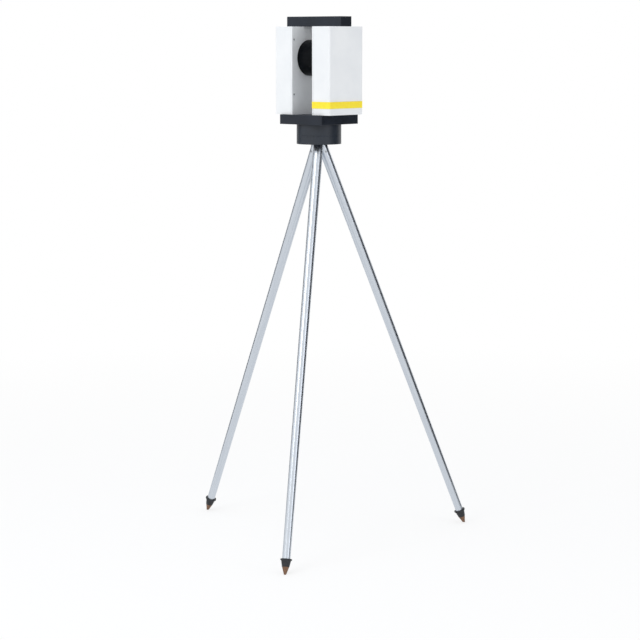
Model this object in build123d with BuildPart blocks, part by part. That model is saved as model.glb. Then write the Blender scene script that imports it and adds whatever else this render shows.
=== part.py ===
from build123d import *
import math
import os

os.makedirs("parts", exist_ok=True)

# Terrestrial laser scanner on a slim three-legged stand, in millimetres.
# Z is up and runs along the turning axis, z = 0 is the ground. X runs across
# the two towers and -Y is the front of the head.

# Stance of the tripod
stance_r = 566.35
stand_z = 1407.4
leg_azimuths = {"a": -60.0, "b": 60.0, "c": 180.0}

# Leg hinge
pivot_r = 20.5
pivot_down = 27.0
hinge_pin_r = 4.0
hinge_pin_len = 33.0
knuckle_r = 8.0
tongue_w = 10.0
fork_rise = 4.0
mitre_gap = 0.2

# Leg, as distances down its axis from the hinge
collar_end = 18.0
plug_len = 30.0
leg_top_r = 17.5
leg_foot_r = 14.0
leg_wall = 2.0
shoe_len = 27.0
shoe_flange_r = 20.0
shoe_flange_h = 4.0
shoe_waist_r = 16.5
shoe_tip_r = 12.5
shoe_socket = 12.0
spike_len = 25.0
spike_top_r = 11.5
spike_tip_r = 4.0
spike_rim = 2.0
spike_stud_r = 5.0
spike_stud_len = 10.0

# Tripod head casting
head_r = 78.5
tripod_head_h = 30.0
head_top_wall = 9.0
skirt_wall = 5.0
hub_r = 20.0
hub_drop = 9.0
rib_w = 5.0
rib_drop = 9.0
spigot_r = 11.0
spigot_len = 15.0
socket_extra = 1.0

# Clamp that holds the spigot
clamp_azimuth = 120.0
clamp_down = 8.0
clamp_screw_r = 4.0
clamp_rib_w = 18.0
groove_depth = 1.5
groove_w = 5.0
dog_r = 2.0
pad_len = 6.0
knob_r = 13.0
knob_h = 14.0
knob_gap = 1.5
knob_flutes = 10
knob_flute_r = 2.4
clamp_boss_len = 2.0

# Fixed base of the scanner
base_h = 39.7
base_wall = 3.5
base_top_wall = 5.0
adapter_t = 6.0
adapter_screw_len = 12.0
adapter_screw_in = 9.5
adapter_lug_r = 7.0
adapter_screw_count = 4
seal_gap = 1.2
seal_in = 11.5
seal_w = 4.0
seal_depth = 2.0

# Azimuth bearing, motor and encoder
bearing_in = 36.0
bearing_race_t = 5.5
bearing_inner_t = 6.5
bearing_split = 2.0
bearing_w = 12.0
ball_r = 3.0
ball_count = 24
spindle_wall = 8.0
spindle_drop = 29.7
rotor_disc_t = 4.0
rotor_disc_down = 22.2
magnet_t = 3.5
magnet_h = 13.0
stator_gap = 0.6
stator_t = 13.4
stator_h = 12.0
stator_slots = 18
stator_slot_w = 3.0
stator_rim = 3.0
encoder_t = 1.5
encoder_in = 5.0
slip_gap = 6.0
slip_tracks = 5
slip_track_pitch = 4.0
slip_track_w = 2.0
slip_track_depth = 1.0

# Power inlet
inlet_azimuth = 90.0
inlet_up = 13.0
inlet_flange_r = 10.0
inlet_flange_t = 2.5
inlet_r = 8.0
inlet_len = 10.0
inlet_bore_r = 4.75
inlet_bore_len = 8.0
inlet_tail_r = 5.0
inlet_tail_len = 9.0

# Turntable plate
plate_side = 196.0
plate_h = 33.45
plate_wall = 5.0
plate_top_wall = 7.0
plate_corner_r = 4.0
boss_r = 50.0
cover_t = 3.0
cover_post_r = 5.0
cover_post_in = 10.0
flange_r = 46.0
flange_up = 1.0
flange_t = 11.0
flange_screw_ring = 39.3
flange_screws = 6

# Towers
gap_half = 46.0
tower_out = 126.7
tower_d = 177.0
tower_h = 304.75
frame_wall = 7.0
frame_flange_t = 8.0
frame_top_t = 12.0
cover_wall = 3.0
tower_corner_r = 6.0
seam = 0.25
web_size = 40.0
web_t = 5.0
frame_screw_in = 16.0
frame_screw_edge = 12.0
frame_screw_y = 60.0
handle_screw_in = 18.0
handle_screw_edge = 17.65
corner_block = 14.0
cover_screw_low = 70.0
cover_screw_high = 45.0

# Bumper band round the right tower
band_up = 23.25
band_h = 23.5
band_proud = 0.8
band_sunk = 1.2

# Handle bar
bar_w = 251.3
bar_d = 57.4
bar_h = 34.7
bar_wall = 4.0
bar_floor = 6.0
bar_corner_r = 2.0
lid_t = 3.0
insert_r = 11.0
insert_len = 20.0
insert_boss_r = 15.0
thread_r = 6.75
thread_len = 16.0

# Mirror drum
drum_down = 108.6
drum_r = 63.0
drum_gap = 0.5
drum_wall = 3.0
drum_end_t = 4.0
window_half_w = 27.0
window_half_h = 33.0
window_t = 1.5
window_ledge = 2.0
mirror_r = 25.0
mirror_t = 4.0
trunnion_r = 24.0
trunnion_bore_r = 20.0
mirror_bearing_r = 34.0
mirror_bearing_w = 10.0
mirror_ring_outer_t = 3.5
mirror_ring_inner_t = 4.0
tower_boss_r = 42.0
tower_boss_len = 17.0
tower_hole_r = 31.0

# Mirror motor
motor_shaft_r = 8.0
motor_rotor_r = 19.0
motor_rotor_len = 20.0
motor_rotor_in = 4.0
motor_gap = 0.6
motor_can_r = 34.0
motor_can_len = 28.0
motor_can_end_t = 3.0
motor_flange_t = 3.0

# Laser unit and main board
laser_len = 30.0
laser_half_d = 45.0
laser_half_h = 40.0
barrel_r = 16.0
barrel_len = 20.0
lens_r = 14.0
lens_t = 3.0
lens_down = 5.0
board_from_wall = 14.0
board_t = 1.6
board_half_d = 66.0
board_low = 30.0
board_high = 46.0
standoff_r = 4.0
standoff_inset = 8.0

# Chips on the board: place across, height above the board's foot, width, height, rise
board_chips = (
    (-30.0, 30.0, 30.0, 30.0, 4.0),
    (20.0, 34.0, 36.0, 24.0, 6.0),
    (-36.0, 80.0, 20.0, 26.0, 3.0),
    (30.0, 78.0, 26.0, 26.0, 3.0),
)

# Plug strip along the board's top
strip_w = 80.0
strip_h = 12.0
strip_rise = 5.0
strip_down = 16.75

# Display and power button, on the rear of the right tower
display_w = 56.0
display_h = 88.0
display_down = 96.75
display_lip = 3.0
display_recess = 1.0
display_proud = 0.6
display_body_t = 6.0
button_r = 7.0
button_below = 62.0
button_proud = 1.2
button_flange = 2.0
button_flange_t = 2.0

# Battery bay, on the outside of the left tower
bay_half_d = 43.5
bay_up = 52.45
bay_headroom = 5.7
bay_depth = 58.0
bay_wall = 2.0
door_margin = 3.0
battery_break = 3.0

# Port bay, on the rear of the left tower
port_w = 40.0
port_h = 22.0
port_up = 96.0
port_block_t = 5.0
port_block_margin = 4.0
usb_w = 9.0
usb_h = 3.2
card_w = 14.0
card_h = 1.8
socket_depth = 3.0
socket_row = 2.5

# Flap hinges
flap_hinge_r = 2.6
flap_pin_r = 1.25
flap_hinge_out = 2.0
door_knuckle = 20.0
door_side_knuckle = 16.0
port_knuckle = 10.0
port_side_knuckle = 8.0
flap_pin_short = 0.5
grip_w = 26.0
grip_h = 8.0
port_grip_w = 16.0
port_grip_h = 4.0
grip_depth = 1.4

# Fasteners
screw_r = 2.5
screw_len = 16.0
screw_head_r = 4.25
screw_head_h = 5.0
hex_share = 0.62
small_screw_r = 2.0
small_screw_len = 12.0
small_head_r = 3.5
small_head_h = 4.0

# Clearances
running_fit = 0.05
thread_fit = 0.02
seat_fit = 0.2
pass_gap = 0.3
flap_gap = 0.4
battery_gap = 0.5
hole_extra = 1.0

# Bubble level
level_r = 11.0
level_depth = 5.0
level_proud = 1.0
level_y = 80.0

# Broken and rounded edges
edge_break = 0.8
rim_break = 0.6
flap_break = 0.4
cover_round = 1.0
shoe_break = 1.0
drum_round = 1.0
lens_round = 1.2
display_break = 0.4
button_round = 0.5
laser_break = 4.0

# How far a cut runs past a face, or a rib into its wall, so that they join cleanly
past = 1.0

# Levels and places that follow from the sizes above
base_z = stand_z + tripod_head_h
plate_z = base_z + base_h
tower_z = plate_z + plate_h
bar_z = tower_z + tower_h
top_z = bar_z + bar_h
drum_z = bar_z - drum_down
pivot_z = stand_z - pivot_down
clamp_z = base_z - clamp_down
recess_top = base_z - head_top_wall
leg_lean = math.degrees(math.atan2(stance_r - pivot_r, pivot_z))
leg_len = math.hypot(stance_r - pivot_r, pivot_z)
plug_end = collar_end + plug_len
shoe_start = leg_len - spike_len - shoe_len
shoe_end = leg_len - spike_len
tube_end = shoe_start + shoe_socket
housing_top = plate_z - seal_gap
housing_ceiling = housing_top - base_top_wall
bearing_pitch_r = head_r - bearing_in
race_out_r = bearing_pitch_r + bearing_split + bearing_race_t
race_in_r = bearing_pitch_r - bearing_split - bearing_inner_t
spindle_r = race_in_r - running_fit
spindle_bore_r = spindle_r - spindle_wall
slip_ring_r = spindle_bore_r - slip_gap
stator_out = head_r - base_wall - thread_fit
stator_in = stator_out - stator_t
rotor_r = stator_in - stator_gap
encoder_r = rotor_r - encoder_in
seal_r = head_r - seal_in
adapter_screw_ring = head_r - adapter_screw_in
bearing_z = housing_ceiling - bearing_w
rotor_z = plate_z - rotor_disc_down
frame_x = gap_half + frame_wall
cover_x = frame_x + seam
cover_inside = tower_out - cover_wall
half_d = tower_d / 2
half_plate = plate_side / 2
frame_half_d = half_d - cover_wall - seat_fit
block_reach = bar_w / 2 - bar_wall
block_half_d = bar_d / 2 - bar_corner_r
drum_half = gap_half - drum_gap
boss_x = frame_x + tower_boss_len
band_z = tower_z + band_up
screen_x = (cover_x + tower_out) / 2
screen_z = bar_z - display_down
button_z = screen_z - button_below
bay_z = tower_z + bay_up
bay_h = drum_z - tower_boss_r - bay_headroom - bay_z
door_z = bay_z - door_margin
door_h = bay_h + 2 * door_margin
door_half_d = bay_half_d + door_margin
port_x = -screen_x
port_z = tower_z + port_up
cover_screw_zs = (tower_z + cover_screw_low, bar_z - cover_screw_high)
cover_screw_y = half_d - cover_wall - corner_block / 2


def keep(piece, name):
    """Name a finished piece and write it out."""
    piece.part.label = name
    export_step(piece.part, f"parts/{name}.step")


def block(x, y, z, mode=Mode.ADD):
    """A box between pairs of faces along X, Y and Z."""
    with Locations(tuple(sum(pair) / 2 for pair in (x, y, z))):
        Box(abs(x[1] - x[0]), abs(y[1] - y[0]), abs(z[1] - z[0]), mode=mode)


def rod(plane, radius, length, mode=Mode.ADD):
    """A round bar or hole from a plane along its normal."""
    with Locations(plane):
        Cylinder(radius, length, align=(Align.CENTER, Align.CENTER, Align.MIN), mode=mode)


def ring(plane, outer, inner, length):
    """A round collar from a plane along its normal."""
    rod(plane, outer, length)
    rod(plane, inner, length, Mode.SUBTRACT)


def outward(azimuth, z, radius=0.0):
    """A plane that faces away from the turning axis, at a height and a distance from it."""
    turn = math.radians(azimuth)
    away = Vector(math.cos(turn), math.sin(turn), 0)
    return Plane(away * radius + Vector(0, 0, z), x_dir=(0, 0, 1), z_dir=away)


def hinge_plane(azimuth):
    """Upright plane at a leg's hinge pin: X away from the axis, Y up."""
    turn = math.radians(azimuth)
    place = (pivot_r * math.cos(turn), pivot_r * math.sin(turn), pivot_z)
    away = (math.cos(turn), math.sin(turn), 0)
    return Plane(place, x_dir=away, z_dir=(math.sin(turn), -math.cos(turn), 0))


def leg_plane(azimuth):
    """Plane along a leg at its hinge pin: X across the leg and outward, Y down it."""
    turn = math.radians(azimuth)
    lean = math.radians(leg_lean)
    place = (pivot_r * math.cos(turn), pivot_r * math.sin(turn), pivot_z)
    across = (math.cos(lean) * math.cos(turn), math.cos(lean) * math.sin(turn), math.sin(lean))
    return Plane(place, x_dir=across, z_dir=(-math.sin(turn), math.cos(turn), 0))


def leg_radius(down):
    """Outer radius of the tapered tube at a distance down the leg."""
    share = (down - collar_end) / (tube_end - collar_end)
    return leg_top_r + (leg_foot_r - leg_top_r) * share


def facing(side, x, y=0.0, z=0.0):
    """A plane across X that faces away from the gap between the towers."""
    return Plane((side * x, y, z), x_dir=(0, 1, 0), z_dir=(side, 0, 0))


def turned(plane, points):
    """Turn an outline on a plane once round the plane's own Y axis."""
    with BuildSketch(plane) as outline:
        with BuildLine():
            Polyline(*points, close=True)
        make_face()
    revolve(outline.sketch, axis=Axis(plane.origin, plane.y_dir))


def cap_screw(seat, radius, length, head_radius, head_height):
    """A socket-head screw with its head on a plane, on the side the plane faces."""
    with Locations(seat):
        Cylinder(radius, length, align=(Align.CENTER, Align.CENTER, Align.MAX))
        Cylinder(head_radius, head_height, align=(Align.CENTER, Align.CENTER, Align.MIN))
    with BuildSketch(seat.offset(head_height)) as hexagon:
        RegularPolygon(radius=head_radius * hex_share, side_count=6)
    extrude(hexagon.sketch, amount=-head_height / 2, mode=Mode.SUBTRACT)


def tapped_hole(seat, radius, length):
    """Cut the hole that a screw on this seat is turned into, a little deeper than its end."""
    bottom = seat.offset(-length - hole_extra)
    rod(bottom, radius + thread_fit, length, Mode.SUBTRACT)


def frame_screw_places(side):
    """Seats of the screws that hold one tower frame to the turntable plate."""
    for x in (gap_half + frame_screw_in, half_plate - frame_screw_edge):
        for y in (-frame_screw_y, frame_screw_y):
            yield Plane((side * x, y, tower_z + frame_flange_t), z_dir=(0, 0, 1))


def handle_screw_places(side):
    """Seats of the screws that hold the handle to one tower frame."""
    for x in (gap_half + handle_screw_in, bar_w / 2 - handle_screw_edge):
        yield Plane((side * x, 0, bar_z + bar_floor), z_dir=(0, 0, 1))


def spindle_screw_places():
    """Seats of the screws that hold the spindle up against the turntable plate."""
    for index in range(flange_screws):
        turn = 2 * math.pi * index / flange_screws
        place = (
            flange_screw_ring * math.cos(turn),
            flange_screw_ring * math.sin(turn),
            plate_z + flange_up + screw_head_h + pass_gap,
        )
        yield Plane(place, z_dir=(0, 0, -1))


def adapter_screw_places():
    """Seats of the screws that hold the adapter plate to the round housing."""
    for index in range(adapter_screw_count):
        turn = 2 * math.pi * (index + 0.5) / adapter_screw_count
        place = (
            adapter_screw_ring * math.cos(turn),
            adapter_screw_ring * math.sin(turn),
            base_z + small_head_h + pass_gap,
        )
        yield Plane(place, z_dir=(0, 0, -1))


def cover_screw_places(side):
    """Seats of the screws that hold one tower cover, sunk in the frame's inner wall."""
    for z in cover_screw_zs:
        for y in (-cover_screw_y, cover_screw_y):
            yield Plane(
                (side * (gap_half + small_head_h + seat_fit), y, z), z_dir=(-side, 0, 0)
            )


# Tripod head: a cup with a socket for the spigot, and below it one tongue for each leg's fork

with BuildPart() as tripod_head:
    with BuildSketch(Plane.XY.offset(stand_z)):
        Circle(head_r)
    extrude(amount=tripod_head_h)
    with BuildSketch(Plane.XY.offset(stand_z)):
        Circle(head_r - skirt_wall)
    extrude(amount=recess_top - stand_z, mode=Mode.SUBTRACT)
    with BuildSketch(Plane.XY.offset(recess_top - hub_drop)):
        Circle(hub_r)
    extrude(amount=hub_drop)
    with BuildSketch(Plane.XY.offset(recess_top - rib_drop)):
        with PolarLocations((head_r - skirt_wall + hub_r) / 2, 3):
            Rectangle(head_r - skirt_wall - hub_r + 2 * past, rib_w)
    extrude(amount=rib_drop)
    lean = math.radians(leg_lean)
    root = recess_top - pivot_z
    root_out = (knuckle_r - root * math.sin(lean)) / math.cos(lean)
    for azimuth in leg_azimuths.values():
        with BuildSketch(hinge_plane(azimuth)):
            with BuildLine():
                Polyline(
                    (-pivot_r, -knuckle_r),
                    (0, -knuckle_r),
                    (knuckle_r * math.cos(lean), knuckle_r * math.sin(lean)),
                    (root_out, root),
                    (-pivot_r, root),
                    close=True,
                )
            make_face()
            Circle(knuckle_r)
            Circle(hinge_pin_r + thread_fit, mode=Mode.SUBTRACT)
        extrude(amount=tongue_w / 2, both=True)
    clamp_seat = outward(clamp_azimuth, clamp_z)
    with BuildSketch(Plane.XY.offset(clamp_z - clamp_rib_w / 2)):
        with PolarLocations((head_r - skirt_wall + hub_r) / 2, 1, clamp_azimuth):
            Rectangle(head_r - skirt_wall - hub_r + 2 * past, clamp_rib_w)
    extrude(amount=clamp_rib_w / 2)
    with BuildSketch(Plane.XY.offset(base_z)):
        Circle(spigot_r)
    extrude(amount=-(spigot_len + socket_extra), mode=Mode.SUBTRACT)
    rod(clamp_seat, clamp_screw_r + running_fit, head_r + past, Mode.SUBTRACT)
    outer_rims = tripod_head.edges().filter_by(GeomType.CIRCLE)
    chamfer([edge for edge in outer_rims if abs(edge.radius - head_r) < 0.01], rim_break)

keep(tripod_head, "tripod_head")

with BuildPart() as leg_hinge_pins:
    for azimuth in leg_azimuths.values():
        with BuildSketch(hinge_plane(azimuth)) as pin_end:
            Circle(hinge_pin_r)
        extrude(pin_end.sketch, amount=hinge_pin_len / 2, both=True)

keep(leg_hinge_pins, "leg_hinge_pins")

# Three legs, each a fork, a tapered tube, a shoe and a ground spike. Near the axis each fork is
# cut to its own third of a turn, so that the three meet in mitres and none reaches into the next

heel = knuckle_r + pass_gap
fork_top = (stand_z + fork_rise - pivot_z + leg_top_r) / math.cos(lean)
fork_foot = pivot_z - plug_end - leg_top_r

for key, azimuth in leg_azimuths.items():
    along_leg = leg_plane(azimuth)

    with BuildPart() as fork:
        plug_r = leg_radius(plug_end) - leg_wall - thread_fit
        turned(
            along_leg,
            [
                (0, -fork_top),
                (leg_top_r, -fork_top),
                (leg_top_r, collar_end),
                (plug_r, collar_end),
                (plug_r, plug_end),
                (0, plug_end),
            ],
        )
        with BuildSketch(Plane.XY.offset(fork_foot)) as third:
            with Locations(Location((0, 0, 0), (0, 0, 1), azimuth)):
                with Locations((mitre_gap / math.sin(math.pi / 3), 0)):
                    Polygon(
                        (0, 0),
                        (head_r, -head_r * math.sqrt(3)),
                        (head_r, head_r * math.sqrt(3)),
                        align=None,
                    )
        extrude(third.sketch, amount=stand_z + fork_rise - fork_foot, mode=Mode.INTERSECT)
        with BuildSketch(along_leg) as slot:
            with Locations((-leg_top_r, (heel - fork_top) / 2)):
                Rectangle(2 * leg_top_r, heel + fork_top)
            with Locations((heel / 2, -fork_top / 2)):
                Rectangle(heel, fork_top)
            Circle(heel)
        extrude(slot.sketch, amount=tongue_w / 2 + pass_gap, both=True, mode=Mode.SUBTRACT)
        with BuildSketch(along_leg) as pin_hole:
            Circle(hinge_pin_r + running_fit)
        extrude(pin_hole.sketch, amount=2 * leg_top_r, both=True, mode=Mode.SUBTRACT)

    keep(fork, f"leg_{key}_hinge")

    with BuildPart() as tube:
        turned(
            along_leg,
            [
                (leg_top_r - leg_wall, collar_end),
                (leg_top_r, collar_end),
                (leg_foot_r, tube_end),
                (leg_foot_r - leg_wall, tube_end),
            ],
        )

    keep(tube, f"leg_{key}_tube")

    with BuildPart() as shoe:
        socket_r = leg_radius(shoe_start) + thread_fit
        turned(
            along_leg,
            [
                (socket_r, shoe_start),
                (shoe_flange_r - shoe_break, shoe_start),
                (shoe_flange_r, shoe_start + shoe_break),
                (shoe_flange_r, shoe_start + shoe_flange_h),
                (shoe_waist_r + shoe_break, shoe_start + shoe_flange_h + shoe_break),
                (shoe_waist_r, shoe_start + shoe_flange_h + 3 * shoe_break),
                (shoe_tip_r, shoe_end),
                (spike_stud_r + thread_fit, shoe_end),
                (spike_stud_r + thread_fit, tube_end),
                (socket_r, tube_end),
            ],
        )

    keep(shoe, f"leg_{key}_shoe")

    with BuildPart() as spike:
        turned(
            along_leg,
            [
                (0, shoe_end - spike_stud_len),
                (spike_stud_r, shoe_end - spike_stud_len),
                (spike_stud_r, shoe_end),
                (spike_top_r, shoe_end),
                (spike_top_r, shoe_end + spike_rim),
                (spike_tip_r, leg_len),
                (spike_tip_r, leg_len + spike_tip_r),
                (0, leg_len + spike_tip_r),
            ],
        )
        split(bisect_by=Plane.XY, keep=Keep.TOP)

    keep(spike, f"leg_{key}_spike")

# Clamp: a dog-point pad and a fluted knob on one screw axis

groove_floor = spigot_r - seat_fit / 2 - groove_depth
pad_tip = groove_floor + pass_gap
pad_from = spigot_r + seat_fit
knob_from = head_r + knob_gap

with BuildPart() as clamp_pad:
    rod(outward(clamp_azimuth, clamp_z, pad_tip), dog_r, pad_from - pad_tip)
    rod(outward(clamp_azimuth, clamp_z, pad_from), clamp_screw_r, pad_len)

keep(clamp_pad, "clamp_pad")

with BuildPart() as clamp_knob:
    screw_from = pad_from + pad_len + pass_gap
    screw_reach = knob_from - screw_from + clamp_boss_len
    rod(outward(clamp_azimuth, clamp_z, screw_from), clamp_screw_r, screw_reach)
    knob_plane = outward(clamp_azimuth, clamp_z, knob_from)
    rod(knob_plane, knob_r, knob_h)
    with BuildSketch(knob_plane) as flutes:
        with PolarLocations(knob_r + knob_flute_r / 2, knob_flutes):
            Circle(knob_flute_r)
    extrude(flutes.sketch, amount=knob_h, mode=Mode.SUBTRACT)
    outer_face = clamp_knob.faces().sort_by(Axis(knob_plane.origin, knob_plane.z_dir))[-1]
    chamfer(outer_face.edges(), edge_break)

keep(clamp_knob, "clamp_knob")

# Fixed base: adapter plate with its spigot, and a round housing

with BuildPart() as base_adapter:
    with BuildSketch(Plane.XY.offset(base_z)):
        Circle(head_r - base_wall - seat_fit)
    extrude(amount=adapter_t)
    with BuildSketch(Plane.XY.offset(base_z)):
        Circle(spigot_r - seat_fit / 2)
    extrude(amount=-spigot_len)
    with BuildSketch(Plane.XY.offset(clamp_z - groove_w / 2)):
        Circle(spigot_r + past)
        Circle(groove_floor, mode=Mode.SUBTRACT)
    extrude(amount=groove_w, mode=Mode.SUBTRACT)
    for seat in adapter_screw_places():
        rod(seat, small_head_r + pass_gap, small_head_h * 2, Mode.SUBTRACT)
        rod(seat.offset(-adapter_t), small_screw_r + seat_fit, adapter_t, Mode.SUBTRACT)

keep(base_adapter, "base_adapter")

with BuildPart() as base_housing:
    with BuildSketch(Plane.XY.offset(base_z)):
        Circle(head_r)
        Circle(head_r - base_wall, mode=Mode.SUBTRACT)
    extrude(amount=housing_top - base_z)
    with BuildSketch(Plane.XY.offset(housing_ceiling)):
        Circle(head_r - base_wall / 2)
        Circle(race_out_r - bearing_race_t, mode=Mode.SUBTRACT)
    extrude(amount=base_top_wall)
    with BuildSketch(Plane.XY.offset(bearing_z)):
        Circle(race_out_r + base_wall)
        Circle(race_out_r + thread_fit, mode=Mode.SUBTRACT)
    extrude(amount=bearing_w)
    with BuildSketch(Plane.XY.offset(housing_top)):
        Circle(seal_r + seal_w / 2)
        Circle(seal_r - seal_w / 2, mode=Mode.SUBTRACT)
    extrude(amount=-seal_depth, mode=Mode.SUBTRACT)
    for seat in adapter_screw_places():
        lug = Plane((seat.origin.X, seat.origin.Y, base_z + adapter_t), z_dir=(0, 0, 1))
        rod(lug, adapter_lug_r, adapter_screw_len - adapter_t / 2)
        rod(lug, small_screw_r + thread_fit, adapter_screw_len, Mode.SUBTRACT)
    rod(
        outward(inlet_azimuth, base_z + inlet_up, head_r - base_wall * 2),
        inlet_tail_r + seat_fit,
        base_wall * 4,
        Mode.SUBTRACT,
    )
    outer_rims = base_housing.edges().filter_by(GeomType.CIRCLE)
    chamfer([edge for edge in outer_rims if abs(edge.radius - head_r) < 0.01], rim_break)

keep(base_housing, "base_housing")

with BuildPart() as base_screws:
    for seat in adapter_screw_places():
        cap_screw(seat, small_screw_r, adapter_screw_len, small_head_r, small_head_h)

keep(base_screws, "base_screws")

with BuildPart() as base_seal:
    with BuildSketch(Plane.XY.offset(housing_top - seal_depth)):
        Circle(seal_r + seal_w / 2 - thread_fit)
        Circle(seal_r - seal_w / 2 + thread_fit, mode=Mode.SUBTRACT)
    extrude(amount=seal_depth + seal_gap - pass_gap)

keep(base_seal, "base_seal")

with BuildPart() as power_inlet:
    outside = outward(inlet_azimuth, base_z + inlet_up, head_r + thread_fit)
    rod(outside, inlet_flange_r, inlet_flange_t)
    rod(outside, inlet_r, inlet_len)
    rod(outside.offset(-inlet_tail_len), inlet_tail_r, inlet_tail_len + past)
    rod(outside.offset(inlet_len - inlet_bore_len), inlet_bore_r, inlet_bore_len, Mode.SUBTRACT)

keep(power_inlet, "power_inlet")

# Azimuth bearing, spindle, ring motor and encoder

groove_r = ball_r + seat_fit
race_mid = bearing_z + bearing_w / 2

with BuildPart() as azimuth_bearing_outer:
    with BuildSketch(Plane.XZ) as race:
        with Locations((race_out_r - bearing_race_t / 2, race_mid)):
            Rectangle(bearing_race_t, bearing_w - seat_fit)
        with Locations((bearing_pitch_r, race_mid)):
            Circle(groove_r, mode=Mode.SUBTRACT)
    revolve(race.sketch, axis=Axis.Z)

keep(azimuth_bearing_outer, "azimuth_bearing_outer")

with BuildPart() as azimuth_bearing_inner:
    with BuildSketch(Plane.XZ) as race:
        with Locations((race_in_r + bearing_inner_t / 2, race_mid)):
            Rectangle(bearing_inner_t, bearing_w - seat_fit)
        with Locations((bearing_pitch_r, race_mid)):
            Circle(groove_r, mode=Mode.SUBTRACT)
    revolve(race.sketch, axis=Axis.Z)

keep(azimuth_bearing_inner, "azimuth_bearing_inner")

with BuildPart() as azimuth_bearing_balls:
    with Locations((0, 0, race_mid)):
        with PolarLocations(bearing_pitch_r, ball_count):
            Sphere(ball_r)

keep(azimuth_bearing_balls, "azimuth_bearing_balls")

with BuildPart() as azimuth_spindle:
    with BuildSketch(Plane.XY.offset(plate_z + flange_up)):
        Circle(flange_r)
    extrude(amount=flange_t)
    with BuildSketch(Plane.XY.offset(plate_z - spindle_drop)):
        Circle(spindle_r)
    extrude(amount=spindle_drop + flange_up)
    with BuildSketch(Plane.XY.offset(plate_z - spindle_drop)):
        Circle(spindle_bore_r)
    extrude(amount=spindle_drop + flange_up + flange_t, mode=Mode.SUBTRACT)
    for seat in spindle_screw_places():
        rod(seat, screw_head_r + seat_fit, screw_head_h * 2, Mode.SUBTRACT)
        rod(seat.offset(-flange_t), screw_r + seat_fit, flange_t, Mode.SUBTRACT)

keep(azimuth_spindle, "azimuth_spindle")

with BuildPart() as azimuth_motor_rotor:
    with BuildSketch(Plane.XY.offset(rotor_z - rotor_disc_t)):
        Circle(rotor_r)
        Circle(spindle_r + thread_fit, mode=Mode.SUBTRACT)
    extrude(amount=rotor_disc_t)
    with BuildSketch(Plane.XY.offset(rotor_z)):
        Circle(rotor_r)
        Circle(rotor_r - magnet_t, mode=Mode.SUBTRACT)
    extrude(amount=magnet_h)

keep(azimuth_motor_rotor, "azimuth_motor_rotor")

with BuildPart() as azimuth_motor_stator:
    with BuildSketch(Plane.XY.offset(rotor_z + magnet_h - stator_h)):
        Circle(stator_out)
        Circle(stator_in, mode=Mode.SUBTRACT)
        slot_len = stator_out - stator_rim - stator_in + past
        with PolarLocations(stator_in - past + slot_len / 2, stator_slots):
            Rectangle(slot_len, stator_slot_w, mode=Mode.SUBTRACT)
    extrude(amount=stator_h)

keep(azimuth_motor_stator, "azimuth_motor_stator")

with BuildPart() as azimuth_encoder_disc:
    with BuildSketch(Plane.XY.offset(rotor_z - rotor_disc_t)):
        Circle(encoder_r)
        Circle(spindle_r + thread_fit, mode=Mode.SUBTRACT)
    extrude(amount=-encoder_t)

keep(azimuth_encoder_disc, "azimuth_encoder_disc")

with BuildPart() as slip_ring:
    with BuildSketch(Plane.XY.offset(base_z + adapter_t)):
        Circle(slip_ring_r)
    extrude(amount=housing_top - base_z - adapter_t)
    for track in range(slip_tracks):
        with BuildSketch(Plane.XY.offset(housing_top - slip_track_pitch * (track + 1))):
            Circle(slip_ring_r + past)
            Circle(slip_ring_r - slip_track_depth, mode=Mode.SUBTRACT)
        extrude(amount=-slip_track_w, mode=Mode.SUBTRACT)

keep(slip_ring, "slip_ring")

# Turntable plate, its underside cover and the bubble level in its top

with BuildPart() as turntable_plate:
    with BuildSketch(Plane.XY.offset(plate_z)):
        RectangleRounded(plate_side, plate_side, plate_corner_r)
    extrude(amount=plate_h)
    with BuildSketch(Plane.XY.offset(plate_z)):
        Rectangle(plate_side - 2 * plate_wall, plate_side - 2 * plate_wall)
    extrude(amount=plate_h - plate_top_wall, mode=Mode.SUBTRACT)
    boss_low = plate_z + flange_up + flange_t
    with BuildSketch(Plane.XY.offset(boss_low)):
        Circle(boss_r)
    extrude(amount=tower_z - plate_top_wall - boss_low)
    for seat in spindle_screw_places():
        tapped_hole(seat, screw_r, screw_len)
    for side in (-1, 1):
        for seat in frame_screw_places(side):
            tapped_hole(seat, screw_r, screw_len)
    level_floor = Plane((0, level_y, tower_z - level_depth), z_dir=(0, 0, 1))
    rod(level_floor, level_r + thread_fit, level_depth, Mode.SUBTRACT)
    top_edges = turntable_plate.faces().sort_by(Axis.Z)[-1].outer_wire().edges()
    bottom_edges = turntable_plate.faces().sort_by(Axis.Z)[0].outer_wire().edges()
    chamfer(top_edges + bottom_edges, edge_break)

keep(turntable_plate, "turntable_plate")

with BuildPart() as turntable_cover:
    cover_side = plate_side - 2 * plate_wall - 2 * seat_fit
    with BuildSketch(Plane.XY.offset(plate_z)):
        Rectangle(cover_side, cover_side)
        Circle(flange_r + hole_extra, mode=Mode.SUBTRACT)
    extrude(amount=cover_t)
    with BuildSketch(Plane.XY.offset(plate_z + cover_t)):
        post_span = cover_side - 2 * cover_post_in
        with GridLocations(post_span, post_span, 2, 2):
            Circle(cover_post_r)
    extrude(amount=plate_h - plate_top_wall - cover_t)

keep(turntable_cover, "turntable_cover")

with BuildPart() as bubble_level:
    rod(level_floor, level_r, level_depth + level_proud)
    chamfer(bubble_level.edges().group_by(Axis.Z)[-1], rim_break)

keep(bubble_level, "bubble_level")

# Tower frames and covers


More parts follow.
